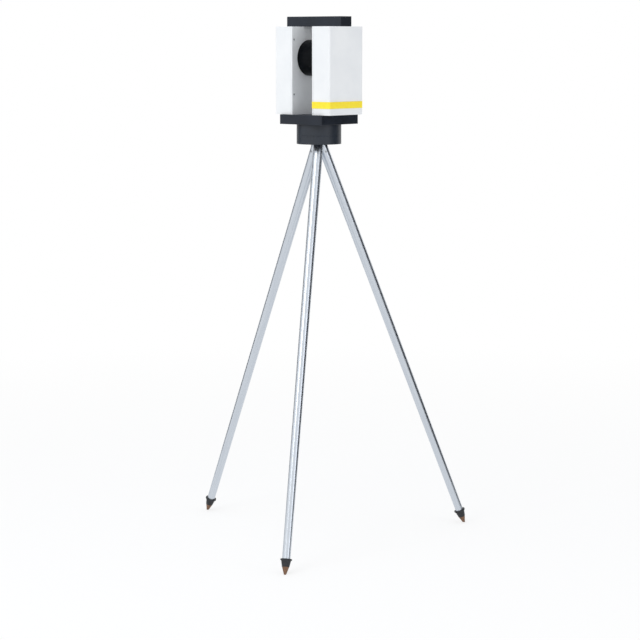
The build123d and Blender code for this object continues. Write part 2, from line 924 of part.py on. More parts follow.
def tower_plan(side, start, inset, mode=Mode.ADD):
    """Plan of one tower, square at its inner side and round at the outer corners."""
    reach = tower_out - inset
    depth = half_d - inset
    corner = tower_corner_r - inset
    with BuildLine() as plan:
        Line((side * start, -depth), (side * (reach - corner), -depth))
        RadiusArc(
            (side * (reach - corner), -depth), (side * reach, -depth + corner), -side * corner
        )
        Line((side * reach, -depth + corner), (side * reach, depth - corner))
        RadiusArc(
            (side * reach, depth - corner), (side * (reach - corner), depth), -side * corner
        )
        Line((side * (reach - corner), depth), (side * start, depth))
        Line((side * start, depth), (side * start, -depth))
    make_face(plan.edges(), mode=mode)


def tower_frame(side):
    """Inner wall, foot, top block and bearing boss of one tower."""
    block((side * gap_half, side * frame_x), (-half_d, half_d), (tower_z, bar_z))
    with BuildSketch(Plane.XY.offset(tower_z)) as foot:
        tower_plan(side, gap_half + past, cover_wall + seat_fit)
    extrude(foot.sketch, amount=frame_flange_t)
    block(
        (side * frame_x, side * block_reach),
        (-block_half_d, block_half_d),
        (bar_z - frame_top_t, bar_z),
    )
    rod(facing(side, frame_x, 0, drum_z), tower_boss_r, tower_boss_len)
    seat_depth = mirror_bearing_w + seat_fit
    rod(facing(side, gap_half, 0, drum_z), tower_hole_r, frame_wall, Mode.SUBTRACT)
    rod(
        facing(side, frame_x, 0, drum_z),
        mirror_bearing_r + thread_fit,
        seat_depth,
        Mode.SUBTRACT,
    )
    rod(facing(side, frame_x, 0, drum_z), tower_hole_r, tower_boss_len, Mode.SUBTRACT)
    for y in (-1, 1):
        foot_top = tower_z + frame_flange_t
        with BuildSketch(Plane.XZ.offset(-y * frame_half_d)) as web:
            with BuildLine():
                Polyline(
                    (side * frame_x, foot_top),
                    (side * (frame_x + web_size), foot_top),
                    (side * frame_x, foot_top + web_size),
                    close=True,
                )
            make_face()
        extrude(web.sketch, amount=y * web_t)
    for seat in frame_screw_places(side):
        rod(seat.offset(-frame_flange_t), screw_r + seat_fit, frame_flange_t, Mode.SUBTRACT)
    for seat in handle_screw_places(side):
        tapped_hole(seat, screw_r, screw_len)
    for seat in cover_screw_places(side):
        rod(seat, small_head_r + seat_fit, small_head_h * 2, Mode.SUBTRACT)
        rod(seat.offset(-frame_wall), small_screw_r + seat_fit, frame_wall, Mode.SUBTRACT)


def gap_corners(frame):
    """Upright edges of a tower frame at the front and the rear of the gap."""
    for edge in frame.edges().filter_by(Axis.Z):
        middle = edge.center()
        if abs(abs(middle.X) - gap_half) < 0.01 and abs(abs(middle.Y) - half_d) < 0.01:
            yield edge


def top_rim(cover):
    """Edges round the outside of a tower cover's top."""
    for edge in cover.edges().group_by(Axis.Z)[-1]:
        middle = edge.center()
        corner = tower_corner_r / 2
        if abs(middle.X) > tower_out - corner or abs(middle.Y) > half_d - corner:
            yield edge


def tower_cover(side):
    """Shell of one tower, with a notch for the frame's top block and four screw blocks."""
    with BuildSketch(Plane.XY.offset(tower_z + pass_gap)) as outside:
        tower_plan(side, cover_x, 0)
    extrude(outside.sketch, amount=tower_h - pass_gap)
    with BuildSketch(Plane.XY.offset(tower_z + pass_gap)) as inside:
        tower_plan(side, cover_x, cover_wall)
    extrude(inside.sketch, amount=tower_h - pass_gap - cover_wall, mode=Mode.SUBTRACT)
    block(
        (side * cover_x, side * (block_reach + seat_fit)),
        (-block_half_d - seat_fit, block_half_d + seat_fit),
        (bar_z - cover_wall - past, bar_z + past),
        Mode.SUBTRACT,
    )
    for z in cover_screw_zs:
        for y in (-1, 1):
            block(
                (side * cover_x, side * (cover_x + corner_block)),
                (y * (half_d - cover_wall - corner_block), y * (half_d - cover_wall / 2)),
                (z - corner_block / 2, z + corner_block / 2),
            )
    for seat in cover_screw_places(side):
        tapped_hole(seat, small_screw_r, small_screw_len)


def band_groove():
    """Cut the shallow channel that the bumper band lies in."""
    with BuildSketch(Plane.XY.offset(band_z)) as channel:
        Rectangle(2 * (tower_out + past), tower_d + 2 * past)
        tower_plan(1, 0, band_sunk, Mode.SUBTRACT)
    extrude(channel.sketch, amount=band_h, mode=Mode.SUBTRACT)


with BuildPart() as left_tower_frame:
    tower_frame(-1)
    chamfer(list(gap_corners(left_tower_frame)), edge_break)

keep(left_tower_frame, "left_tower_frame")

with BuildPart() as right_tower_frame:
    tower_frame(1)
    chamfer(list(gap_corners(right_tower_frame)), edge_break)
    band_groove()

keep(right_tower_frame, "right_tower_frame")


def flap_axis(plane):
    """Plane across a flap's hinge axis, at its middle."""
    return Plane(plane.offset(flap_hinge_out).origin, x_dir=plane.z_dir, z_dir=plane.x_dir)


def flap_knuckles(hinge, on_flap, mode=Mode.ADD):
    """Knuckles along a flap's lower edge, or room for them: the middle one or the side ones."""
    plane, middle, beside = hinge
    sides = [(-middle / 2 - beside, beside), (middle / 2, beside)]
    spans = [(-middle / 2, middle)] if on_flap else sides
    gap = flap_gap / 2 if mode == Mode.ADD else -flap_gap / 2
    radius = flap_hinge_r if mode == Mode.ADD else flap_hinge_r + pass_gap
    for start, length in spans:
        rod(flap_axis(plane).offset(start + gap), radius, length - 2 * gap, mode)


def flap_pin(hinge, radius, short, mode=Mode.ADD):
    """The hinge pin of a flap, or its hole, ending short of the outer knuckles' ends."""
    plane, middle, beside = hinge
    half_span = middle / 2 + beside - short
    rod(flap_axis(plane).offset(-half_span), radius, 2 * half_span, mode)


# Each flap's hinge: a plane on the tower's face at the middle of the flap's lower edge, then the
# lengths of the middle knuckle and of the ones beside it
door_hinge = (
    Plane((-tower_out, 0, door_z), x_dir=(0, 1, 0), z_dir=(-1, 0, 0)),
    door_knuckle,
    door_side_knuckle,
)
port_hinge = (
    Plane((port_x, half_d, port_z), x_dir=(1, 0, 0), z_dir=(0, 1, 0)),
    port_knuckle,
    port_side_knuckle,
)

with BuildPart() as left_tower_cover:
    tower_cover(-1)
    fillet(list(top_rim(left_tower_cover)), cover_round)
    block(
        (-tower_out - past, -cover_inside),
        (-door_half_d, door_half_d),
        (door_z, door_z + door_h),
        Mode.SUBTRACT,
    )
    block(
        (-cover_inside, -cover_inside + bay_wall),
        (-door_half_d - door_margin, door_half_d + door_margin),
        (door_z - door_margin, door_z + door_h + door_margin),
    )
    bay_back = cover_inside - bay_depth
    block(
        (-cover_inside, -bay_back + bay_wall),
        (-bay_half_d - bay_wall, bay_half_d + bay_wall),
        (bay_z - bay_wall, bay_z + bay_h + bay_wall),
    )
    block(
        (-cover_inside - past, -bay_back),
        (-bay_half_d, bay_half_d),
        (bay_z, bay_z + bay_h),
        Mode.SUBTRACT,
    )
    block(
        (port_x - port_w / 2, port_x + port_w / 2),
        (half_d - cover_wall - past, half_d + past),
        (port_z, port_z + port_h),
        Mode.SUBTRACT,
    )
    for hinge in (door_hinge, port_hinge):
        flap_knuckles(hinge, False)
        flap_knuckles(hinge, True, Mode.SUBTRACT)
        flap_pin(hinge, flap_pin_r + thread_fit, -past, Mode.SUBTRACT)

keep(left_tower_cover, "left_tower_cover")

with BuildPart() as battery_door:
    block(
        (-tower_out, -cover_inside - seat_fit),
        (-door_half_d + flap_gap, door_half_d - flap_gap),
        (door_z + flap_gap, door_z + door_h - flap_gap),
    )
    chamfer(battery_door.faces().sort_by(Axis.X)[0].edges(), flap_break)
    block(
        (-tower_out - past, -tower_out + grip_depth),
        (-grip_w / 2, grip_w / 2),
        (door_z + door_h - grip_h, door_z + door_h),
        Mode.SUBTRACT,
    )
    flap_knuckles(door_hinge, True)
    flap_knuckles(door_hinge, False, Mode.SUBTRACT)
    flap_pin(door_hinge, flap_pin_r + running_fit, -past, Mode.SUBTRACT)

keep(battery_door, "battery_door")

with BuildPart() as port_cover:
    block(
        (port_x - port_w / 2 + flap_gap, port_x + port_w / 2 - flap_gap),
        (half_d - cover_wall + seat_fit, half_d),
        (port_z + flap_gap, port_z + port_h - flap_gap),
    )
    chamfer(port_cover.faces().sort_by(Axis.Y)[-1].edges(), flap_break)
    block(
        (port_x - port_grip_w / 2, port_x + port_grip_w / 2),
        (half_d - grip_depth, half_d + past),
        (port_z + port_h - port_grip_h, port_z + port_h),
        Mode.SUBTRACT,
    )
    flap_knuckles(port_hinge, True)
    flap_knuckles(port_hinge, False, Mode.SUBTRACT)
    flap_pin(port_hinge, flap_pin_r + running_fit, -past, Mode.SUBTRACT)

keep(port_cover, "port_cover")

with BuildPart() as flap_hinge_pins:
    for hinge in (door_hinge, port_hinge):
        flap_pin(hinge, flap_pin_r, flap_pin_short)

keep(flap_hinge_pins, "flap_hinge_pins")

with BuildPart() as battery_pack:
    block(
        (-cover_inside + battery_gap, -bay_back - battery_gap),
        (-bay_half_d + battery_gap, bay_half_d - battery_gap),
        (bay_z + seat_fit, bay_z + bay_h - battery_gap),
    )
    chamfer(battery_pack.edges().filter_by(Axis.X), battery_break)

keep(battery_pack, "battery_pack")

with BuildPart() as port_block:
    block_y = half_d - cover_wall - seat_fit / 2
    block(
        (port_x - port_w / 2 - port_block_margin, port_x + port_w / 2 + port_block_margin),
        (block_y - port_block_t, block_y),
        (port_z - port_block_margin, port_z + port_h + port_block_margin),
    )
    middle = port_z + port_h / 2
    for x in (port_x - port_w / 4, port_x + port_w / 4):
        block(
            (x - usb_w / 2, x + usb_w / 2),
            (block_y - socket_depth, block_y + past),
            (middle + socket_row, middle + socket_row + usb_h),
            Mode.SUBTRACT,
        )
    block(
        (port_x - card_w / 2, port_x + card_w / 2),
        (block_y - socket_depth, block_y + past),
        (middle - socket_row - card_h, middle - socket_row),
        Mode.SUBTRACT,
    )

keep(port_block, "port_block")

with BuildPart() as right_tower_cover:
    tower_cover(1)
    fillet(list(top_rim(right_tower_cover)), cover_round)
    band_groove()
    block(
        (screen_x - display_w / 2 + display_lip, screen_x + display_w / 2 - display_lip),
        (half_d - cover_wall - past, half_d + past),
        (screen_z - display_h / 2 + display_lip, screen_z + display_h / 2 - display_lip),
        Mode.SUBTRACT,
    )
    block(
        (screen_x - display_w / 2 - seat_fit, screen_x + display_w / 2 + seat_fit),
        (half_d - display_recess, half_d + past),
        (screen_z - display_h / 2 - seat_fit, screen_z + display_h / 2 + seat_fit),
        Mode.SUBTRACT,
    )
    button_hole = Plane((screen_x, half_d + past, button_z), z_dir=(0, -1, 0))
    rod(button_hole, button_r + pass_gap, cover_wall + 2 * past, Mode.SUBTRACT)
    board_x = cover_inside - board_from_wall
    post_ys = (-board_half_d + standoff_inset, board_half_d - standoff_inset)
    post_zs = (tower_z + board_low + standoff_inset, bar_z - board_high - standoff_inset)
    for y in post_ys:
        for z in post_zs:
            rod(Plane((board_x + board_t, y, z), z_dir=(1, 0, 0)), standoff_r, board_from_wall)

keep(right_tower_cover, "right_tower_cover")

with BuildPart() as bumper_band:
    with BuildSketch(Plane.XY.offset(band_z + seat_fit / 2)):
        tower_plan(1, gap_half + pass_gap, -band_proud)
        tower_plan(1, gap_half, band_sunk - thread_fit, Mode.SUBTRACT)
    extrude(amount=band_h - seat_fit)

keep(bumper_band, "bumper_band")

with BuildPart() as frame_screws:
    seats = list(spindle_screw_places())
    for side in (-1, 1):
        seats.extend(frame_screw_places(side))
        seats.extend(handle_screw_places(side))
    for seat in seats:
        cap_screw(seat, screw_r, screw_len, screw_head_r, screw_head_h)

keep(frame_screws, "frame_screws")

with BuildPart() as cover_screws:
    for side in (-1, 1):
        for seat in cover_screw_places(side):
            cap_screw(seat, small_screw_r, small_screw_len, small_head_r, small_head_h)

keep(cover_screws, "cover_screws")

# Handle bar across the tower tops, with a threaded insert in its lid

with BuildPart() as handle_beam:
    beam_top = top_z - lid_t
    with BuildSketch(Plane.XY.offset(bar_z)):
        RectangleRounded(bar_w, bar_d, bar_corner_r)
    extrude(amount=beam_top - bar_z)
    chamfer(handle_beam.faces().sort_by(Axis.Z)[0].edges(), edge_break)
    with BuildSketch(Plane.XY.offset(bar_z + bar_floor)):
        Rectangle(bar_w - 2 * bar_wall, bar_d - 2 * bar_wall)
        Circle(insert_boss_r, mode=Mode.SUBTRACT)
    extrude(amount=beam_top - bar_z - bar_floor, mode=Mode.SUBTRACT)
    with BuildSketch(Plane.XY.offset(top_z - insert_len - seat_fit)):
        Circle(insert_r + thread_fit)
    extrude(amount=insert_len, mode=Mode.SUBTRACT)
    for side in (-1, 1):
        for seat in handle_screw_places(side):
            rod(seat.offset(-bar_floor), screw_r + seat_fit, bar_floor, Mode.SUBTRACT)

keep(handle_beam, "handle_beam")

with BuildPart() as handle_lid:
    with BuildSketch(Plane.XY.offset(beam_top)):
        RectangleRounded(bar_w, bar_d, bar_corner_r)
        Circle(insert_r + thread_fit, mode=Mode.SUBTRACT)
    extrude(amount=lid_t)
    rim = handle_lid.faces().sort_by(Axis.Z)[-1].outer_wire().edges()
    chamfer(rim, edge_break)

keep(handle_lid, "handle_lid")

with BuildPart() as accessory_insert:
    rod(Plane((0, 0, top_z - insert_len), z_dir=(0, 0, 1)), insert_r, insert_len)
    rod(Plane((0, 0, top_z - thread_len), z_dir=(0, 0, 1)), thread_r, thread_len, Mode.SUBTRACT)

keep(accessory_insert, "accessory_insert")

# Mirror drum: shell with a trunnion, window, hub with the mirror wedge, and mirror

right_end = Plane((drum_half, 0, drum_z), x_dir=(0, 1, 0), z_dir=(1, 0, 0))
left_end = Plane((-drum_half, 0, drum_z), x_dir=(0, 1, 0), z_dir=(1, 0, 0))
trunnion_len = drum_gap + frame_wall + mirror_bearing_w + seat_fit
ring_x = frame_x + seat_fit / 2

with BuildPart() as drum_shell:
    rod(left_end, drum_r, 2 * drum_half)
    rod(left_end, drum_r - drum_wall, 2 * drum_half - drum_end_t, Mode.SUBTRACT)
    rod(right_end, trunnion_r, trunnion_len)
    rod(right_end.offset(-drum_end_t), trunnion_bore_r, trunnion_len + drum_end_t, Mode.SUBTRACT)
    sight_half_w = window_half_w - window_ledge
    sight_half_h = window_half_h - window_ledge
    block(
        (-sight_half_w, sight_half_w),
        (0, drum_r + past),
        (drum_z - sight_half_h, drum_z + sight_half_h),
        Mode.SUBTRACT,
    )
    with BuildSketch(Plane.YZ.offset(-window_half_w)) as rebate:
        with Locations((0, drum_z)):
            Circle(drum_r + past)
            Circle(drum_r - window_t - thread_fit, mode=Mode.SUBTRACT)
        with Locations((drum_r, drum_z)):
            Rectangle(2 * drum_r, 2 * window_half_h, mode=Mode.INTERSECT)
    extrude(rebate.sketch, amount=2 * window_half_w, mode=Mode.SUBTRACT)
    rims = [
        edge
        for edge in drum_shell.edges().filter_by(GeomType.CIRCLE)
        if abs(edge.radius - drum_r) < 0.01 and abs(abs(edge.center().X) - drum_half) < 0.01
    ]
    fillet(rims, drum_round)

keep(drum_shell, "drum_shell")

with BuildPart() as drum_window:
    with BuildSketch(Plane.YZ.offset(-window_half_w + seat_fit)) as pane:
        with Locations((0, drum_z)):
            Circle(drum_r)
            Circle(drum_r - window_t, mode=Mode.SUBTRACT)
        with Locations((drum_r, drum_z)):
            Rectangle(2 * drum_r, 2 * (window_half_h - seat_fit), mode=Mode.INTERSECT)
    extrude(pane.sketch, amount=2 * (window_half_w - seat_fit))

keep(drum_window, "drum_window")

mirror_face = Plane((0, 0, drum_z), x_dir=(0, 0, 1), z_dir=(1, 1, 0))

with BuildPart() as drum_hub:
    rod(left_end, mirror_r, drum_half + mirror_r)
    split(bisect_by=mirror_face.offset(-mirror_t), keep=Keep.BOTTOM)
    rod(left_end, drum_r - drum_wall - thread_fit, drum_end_t)
    stub_from = left_end.offset(-trunnion_len)
    rod(stub_from, trunnion_r, trunnion_len + past)
    shaft_len = motor_rotor_in + motor_rotor_len + tower_boss_len - mirror_bearing_w
    rod(stub_from.offset(-shaft_len), motor_shaft_r, shaft_len)

keep(drum_hub, "drum_hub")

with BuildPart() as scan_mirror:
    rod(left_end, mirror_r - seat_fit, drum_half + mirror_r)
    split(bisect_by=mirror_face, keep=Keep.BOTTOM)
    split(bisect_by=mirror_face.offset(-mirror_t), keep=Keep.TOP)

keep(scan_mirror, "scan_mirror")

with BuildPart() as mirror_bearing_outer:
    for side in (-1, 1):
        ring(
            facing(side, ring_x, 0, drum_z),
            mirror_bearing_r,
            mirror_bearing_r - mirror_ring_outer_t,
            mirror_bearing_w,
        )

keep(mirror_bearing_outer, "mirror_bearing_outer")

with BuildPart() as mirror_bearing_inner:
    for side in (-1, 1):
        ring(
            facing(side, ring_x, 0, drum_z),
            trunnion_r + mirror_ring_inner_t,
            trunnion_r + thread_fit,
            mirror_bearing_w,
        )

keep(mirror_bearing_inner, "mirror_bearing_inner")

# Mirror motor at the left boss

with BuildPart() as mirror_motor_stator:
    rod(facing(-1, boss_x, 0, drum_z), tower_boss_r, motor_flange_t)
    rod(facing(-1, boss_x, 0, drum_z), motor_can_r, motor_can_len)
    rod(
        facing(-1, boss_x, 0, drum_z),
        motor_rotor_r + motor_gap,
        motor_can_len - motor_can_end_t,
        Mode.SUBTRACT,
    )

keep(mirror_motor_stator, "mirror_motor_stator")

with BuildPart() as mirror_motor_rotor:
    ring(
        facing(-1, boss_x + motor_rotor_in, 0, drum_z),
        motor_rotor_r,
        motor_shaft_r + thread_fit,
        motor_rotor_len,
    )

keep(mirror_motor_rotor, "mirror_motor_rotor")

# Laser unit at the right boss, and the main board behind it

with BuildPart() as laser_unit:
    block(
        (boss_x, boss_x + laser_len),
        (-laser_half_d, laser_half_d),
        (drum_z - laser_half_h, drum_z + laser_half_h),
    )
    chamfer(laser_unit.edges().filter_by(Axis.X), laser_break)
    barrel_mouth = facing(1, boss_x - barrel_len, 0, drum_z)
    rod(barrel_mouth, barrel_r, barrel_len)
    rod(barrel_mouth, lens_r + thread_fit, lens_down + lens_t, Mode.SUBTRACT)

keep(laser_unit, "laser_unit")

with BuildPart() as laser_lens:
    rod(barrel_mouth.offset(lens_down), lens_r, lens_t)
    fillet(laser_lens.faces().sort_by(Axis.X)[0].edges(), lens_round)

keep(laser_lens, "laser_lens")

with BuildPart() as main_board:
    block(
        (board_x, board_x + board_t),
        (-board_half_d, board_half_d),
        (tower_z + board_low, bar_z - board_high),
    )
    for y, up, width, height, rise in board_chips:
        chip_z = tower_z + board_low + up
        block(
            (board_x - rise, board_x + board_t / 2),
            (y - width / 2, y + width / 2),
            (chip_z - height / 2, chip_z + height / 2),
        )
    strip_top = bar_z - board_high - strip_down
    block(
        (board_x - strip_rise, board_x + board_t / 2),
        (-strip_w / 2, strip_w / 2),
        (strip_top - strip_h, strip_top),
    )

keep(main_board, "main_board")

# Display and power button on the rear of the right tower

with BuildPart() as display_module:
    block(
        (screen_x - display_w / 2, screen_x + display_w / 2),
        (half_d - display_recess, half_d + display_proud),
        (screen_z - display_h / 2, screen_z + display_h / 2),
    )
    inner_w = display_w / 2 - display_lip - seat_fit
    inner_h = display_h / 2 - display_lip - seat_fit
    block(
        (screen_x - inner_w, screen_x + inner_w),
        (half_d - display_body_t, half_d - display_recess),
        (screen_z - inner_h, screen_z + inner_h),
    )
    chamfer(display_module.faces().sort_by(Axis.Y)[-1].edges(), display_break)

keep(display_module, "display_module")

with BuildPart() as power_button:
    flange_y = half_d - cover_wall - pass_gap - button_flange_t
    button_foot = Plane((screen_x, flange_y, button_z), z_dir=(0, 1, 0))
    rod(button_foot, button_r + button_flange, button_flange_t)
    rod(button_foot, button_r, half_d + button_proud - flange_y)
    fillet(power_button.faces().sort_by(Axis.Y)[-1].edges(), button_round)

keep(power_button, "power_button")
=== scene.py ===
import bpy
import math
from mathutils import Matrix, Vector


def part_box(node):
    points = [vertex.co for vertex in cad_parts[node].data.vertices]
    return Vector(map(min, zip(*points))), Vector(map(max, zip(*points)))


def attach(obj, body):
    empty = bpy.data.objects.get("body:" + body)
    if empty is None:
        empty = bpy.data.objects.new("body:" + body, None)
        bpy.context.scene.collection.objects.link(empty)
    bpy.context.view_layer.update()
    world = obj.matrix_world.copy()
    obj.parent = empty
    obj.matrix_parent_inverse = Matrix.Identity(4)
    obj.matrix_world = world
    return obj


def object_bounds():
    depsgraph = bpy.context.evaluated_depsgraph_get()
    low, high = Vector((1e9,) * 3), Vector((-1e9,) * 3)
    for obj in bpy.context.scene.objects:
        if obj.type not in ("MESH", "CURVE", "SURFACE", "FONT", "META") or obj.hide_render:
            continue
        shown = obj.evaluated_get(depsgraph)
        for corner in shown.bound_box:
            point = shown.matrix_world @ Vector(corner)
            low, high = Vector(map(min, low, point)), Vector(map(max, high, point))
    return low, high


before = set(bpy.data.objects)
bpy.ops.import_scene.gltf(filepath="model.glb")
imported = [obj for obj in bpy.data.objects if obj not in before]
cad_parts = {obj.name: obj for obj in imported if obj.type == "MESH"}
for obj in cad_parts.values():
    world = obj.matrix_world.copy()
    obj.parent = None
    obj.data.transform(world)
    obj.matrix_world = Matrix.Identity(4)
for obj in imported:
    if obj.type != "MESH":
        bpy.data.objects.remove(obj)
cad_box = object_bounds()

# Places that the frame gives: the floor, and the outer side and rear of the towers, which the
# bumper band stands proud of by the same amount all round
floor_z = cad_box[0].z
band_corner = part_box("bumper_band")[1]
tower_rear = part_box("left_tower_frame")[1].y
tower_side = band_corner.x - (band_corner.y - tower_rear)

# Camera: where it stood, how far it looked down and how long its lens was
camera_yaw = math.radians(41.54)
camera_pitch = math.radians(8.0)
camera_distance = 7.0107
camera_height = 1.7661
camera_aside = 0.00361
focal_px = 1986.83
image_px = 640
sensor_mm = 36.0

# Light: the world's own level on the object, the floor's share of plain white beside the object,
# between which distances from the object the floor turns wholly white, how far the floor runs
# to each side, and the height on the tripod that the lamps face
ambient = 0.82
floor_glow = 0.72
floor_fade = (1.0, 4.5)
floor_half = 60.0
lamp_aim_z = 1.2

# Directions as seen from the front of the object
to_right = Vector((1, 0, 0))
to_left = Vector((-1, 0, 0))
to_rear = Vector((0, 1, 0))
upward = Vector((0, 0, 1))

# Azimuth of each leg, in degrees, which turns the drawing lines along its tube
leg_azimuths = {"a": -60.0, "b": 60.0, "c": 180.0}

# How much the drawing lines' noise is drawn out along a tube
draw_stretch = 0.012

# Finger ribs, in metres like all lengths here. They stand in a recess at a flap's upper edge,
# whose depth comes first, then how far a rib rises and how wide it is. Each flap's own row: how
# many, their spacing, and their length, which is half of the recess's height
grip_depth = 0.0014
rib_rise = 0.0009
rib_width = 0.001
flap_ribs = {"battery_door": (7, 0.0032, 0.004), "port_cover": (5, 0.0026, 0.002)}

# Inlet pins: their middle's depth behind the rim, and their sizes
inlet_pin_depth = 0.0055
inlet_pin_sizes = {"Count": 5, "Ring radius": 0.0028, "Pin radius": 0.0005, "Length": 0.005}

# Power symbol on the button: its sizes, the opening of its ring, and where its stroke starts as
# a share of the ring's radius. Its lines, like the level's, lie half sunk in the surface
power_mark_sizes = {"Radius": 0.003, "Line": 0.0007, "Rise": 0.0003}
power_opening = math.radians(70)
power_stroke_start = 0.25

# Rings on the level
level_sizes = {"Rim radius": 0.0098, "Circle radius": 0.0034, "Line": 0.0006, "Rise": 0.0004}


def linear(colour):
    """A colour written as sRGB hex, as linear red, green, blue and alpha."""
    parts = [int(colour[start:start + 2], 16) / 255 for start in (1, 3, 5)]
    return [p / 12.92 if p <= 0.04045 else ((p + 0.055) / 1.055) ** 2.4 for p in parts] + [1.0]


def add(tree, kind, sockets=None, **settings):
    """Add a node: its settings, then for each socket a value or the output that feeds it."""
    node = tree.nodes.new(kind)
    for name, value in settings.items():
        setattr(node, name, value)
    for name, value in (sockets or {}).items():
        if isinstance(value, bpy.types.NodeSocket):
            tree.links.new(value, node.inputs[name])
        else:
            node.inputs[name].default_value = value
    return node


def calculate(tree, operation, first, second):
    """One step of arithmetic on two numbers, each plain or another node's output."""
    return add(tree, "ShaderNodeMath", {0: first, 1: second}, operation=operation).outputs[0]


def start_finish(name, colour, roughness, metallic=0.0, **more):
    """A new material with its shader's plain values, and its node tree, shader and coordinates."""
    material = bpy.data.materials.new(name)
    material.use_nodes = True
    tree = material.node_tree
    shader = tree.nodes["Principled BSDF"]
    shader.inputs["Base Color"].default_value = linear(colour)
    shader.inputs["Roughness"].default_value = roughness
    shader.inputs["Metallic"].default_value = metallic
    for name, value in more.items():
        shader.inputs[name.replace("_", " ").title().replace("Ior", "IOR")].default_value = value
    place = add(tree, "ShaderNodeTexCoord").outputs["Object"]
    return material, tree, shader, place


def grain(tree, place, size, detail=2.0, roughness=0.55):
    """Noise from 0 to 1, mostly from 0.3 to 0.7, with specks about one size across in metres."""
    sockets = {"Vector": place, "Scale": 0.5 / size, "Detail": detail, "Roughness": roughness}
    return add(tree, "ShaderNodeTexNoise", sockets).outputs["Fac"]


def between(tree, amount, low, high, from_low=0.3, from_high=0.7):
    """A value that runs from low to high as the amount crosses a range, by default a noise's."""
    sockets = {
        "Value": amount,
        "From Min": from_low,
        "From Max": from_high,
        "To Min": low,
        "To Max": high,
    }
    return add(tree, "ShaderNodeMapRange", sockets).outputs["Result"]


def tint(tree, shader, amount, first, second):
    """Colour the surface between two hex colours by an amount from 0 to 1."""
    mix = add(tree, "ShaderNodeMix", {0: amount}, data_type="RGBA", clamp_factor=True)
    mix.inputs[6].default_value = linear(first)
    mix.inputs[7].default_value = linear(second)
    tree.links.new(mix.outputs[2], shader.inputs["Base Color"])
    return mix.outputs[2]


def relief(tree, shader, height, depth, round_edge=0.0):
    """Raise the surface by a height from 0 to 1, at most this deep, over edges that look round."""
    sockets = {"Height": height, "Strength": 1.0, "Distance": depth}
    bump = add(tree, "ShaderNodeBump", sockets)
    if round_edge:
        edge = add(tree, "ShaderNodeBevel", {"Radius": round_edge}, samples=4)
        tree.links.new(edge.outputs["Normal"], bump.inputs["Normal"])
    tree.links.new(bump.outputs["Normal"], shader.inputs["Normal"])


def edge_wear_and_highlight(tree, place, radius, reach):
    """How far a point lies on an outer edge that is worn and carries a painted highlight, from 0 to 1,
    in patches about one reach long.
    """
    rounded = add(tree, "ShaderNodeBevel", {"Radius": radius}, samples=6).outputs["Normal"]
    flat = add(tree, "ShaderNodeNewGeometry").outputs["Normal"]
    alike = add(tree, "ShaderNodeVectorMath", {0: rounded, 1: flat}, operation="DOT_PRODUCT")
    bent = between(tree, alike.outputs["Value"], 1.0, 0.0, 0.75, 0.99)
    patches = between(tree, grain(tree, place, reach, detail=4.0), 0.0, 1.0, 0.45, 0.65)
    return calculate(tree, "MULTIPLY", bent, patches)


def anodised_aluminium():
    """Bead-blasted, dark anodised aluminium: even satin, with edges a shade lighter, partly rubbed and
    partly a painted highlight.
    """
    material, tree, shader, place = start_finish(
        "dark_anodised_aluminium", "#171F2A", roughness=0.44, metallic=0.3
    )
    mottle = grain(tree, place, size=0.045, detail=3.0)
    wear_and_highlight = edge_wear_and_highlight(tree, place, radius=0.0012, reach=0.012)
    base = tint(tree, shader, between(tree, mottle, 0.0, 1.0), "#141B26", "#1B232F")
    # Outer edges are mixed towards a lighter grey: partly rubbed anodising, partly a painted edge
    # highlight
    mix = add(tree, "ShaderNodeMix", {0: wear_and_highlight, 6: base, 7: linear("#555D68")}, data_type="RGBA")
    tree.links.new(mix.outputs[2], shader.inputs["Base Color"])
    shine = between(tree, grain(tree, place, size=0.02), 0.40, 0.50)
    tree.links.new(shine, shader.inputs["Roughness"])
    # The blasted grain is about 0.1 mm; it is drawn at 0.5 mm so that it shows
    blasted = grain(tree, place, size=0.0005, detail=1.0)
    relief(tree, shader, blasted, depth=0.00003, round_edge=0.0006)
    return material


def coated_casting():
    """Aluminium casting with a fine-textured dark powder coat."""
    material, tree, shader, place = start_finish("dark_powder_coat", "#1C2430", roughness=0.42)
    mottle = grain(tree, place, size=0.03, detail=3.0)
    tint(tree, shader, between(tree, mottle, 0.0, 1.0), "#19212C", "#212A36")
    # Powder coat flows into bumps of 0.8 to 1.5 mm, the orange peel of the real finish
    peel = grain(tree, place, size=0.0011, detail=2.0)
    relief(tree, shader, peel, depth=0.00006, round_edge=0.0006)
    return material


def moulded_white():
    """White ABS-polycarbonate, spark-eroded in the mould: matt, with faint handling marks."""
    material, tree, shader, place = start_finish(
        "moulded_white_abs", "#ECEEF0", roughness=0.5, ior=1.53
    )
    marks = grain(tree, place, size=0.06, detail=4.0)
    tint(tree, shader, between(tree, marks, 0.0, 1.0, 0.25, 0.8), "#F1F3F4", "#E4E7EA")
    shine = between(tree, grain(tree, place, size=0.018, detail=3.0), 0.42, 0.56)
    tree.links.new(shine, shader.inputs["Roughness"])
    # The mould's grain is about 0.2 mm; it is drawn at 0.7 mm so that it shows close up
    mould_grain = grain(tree, place, size=0.0007, detail=2.0)
    relief(tree, shader, mould_grain, depth=0.00004, round_edge=0.0007)
    return material


def painted_white():
    """White wet paint on a casting: smoother than the covers, with a little orange peel."""
    material, tree, shader, place = start_finish(
        "white_painted_casting",
        "#E9EBED",
        roughness=0.36,
        coat_weight=0.25,
        coat_roughness=0.2,
    )
    marks = grain(tree, place, size=0.05, detail=3.0)
    tint(tree, shader, between(tree, marks, 0.0, 1.0), "#EDEFF1", "#E2E5E8")
    peel = grain(tree, place, size=0.0022, detail=2.0)
    relief(tree, shader, peel, depth=0.00005, round_edge=0.0007)
    return material


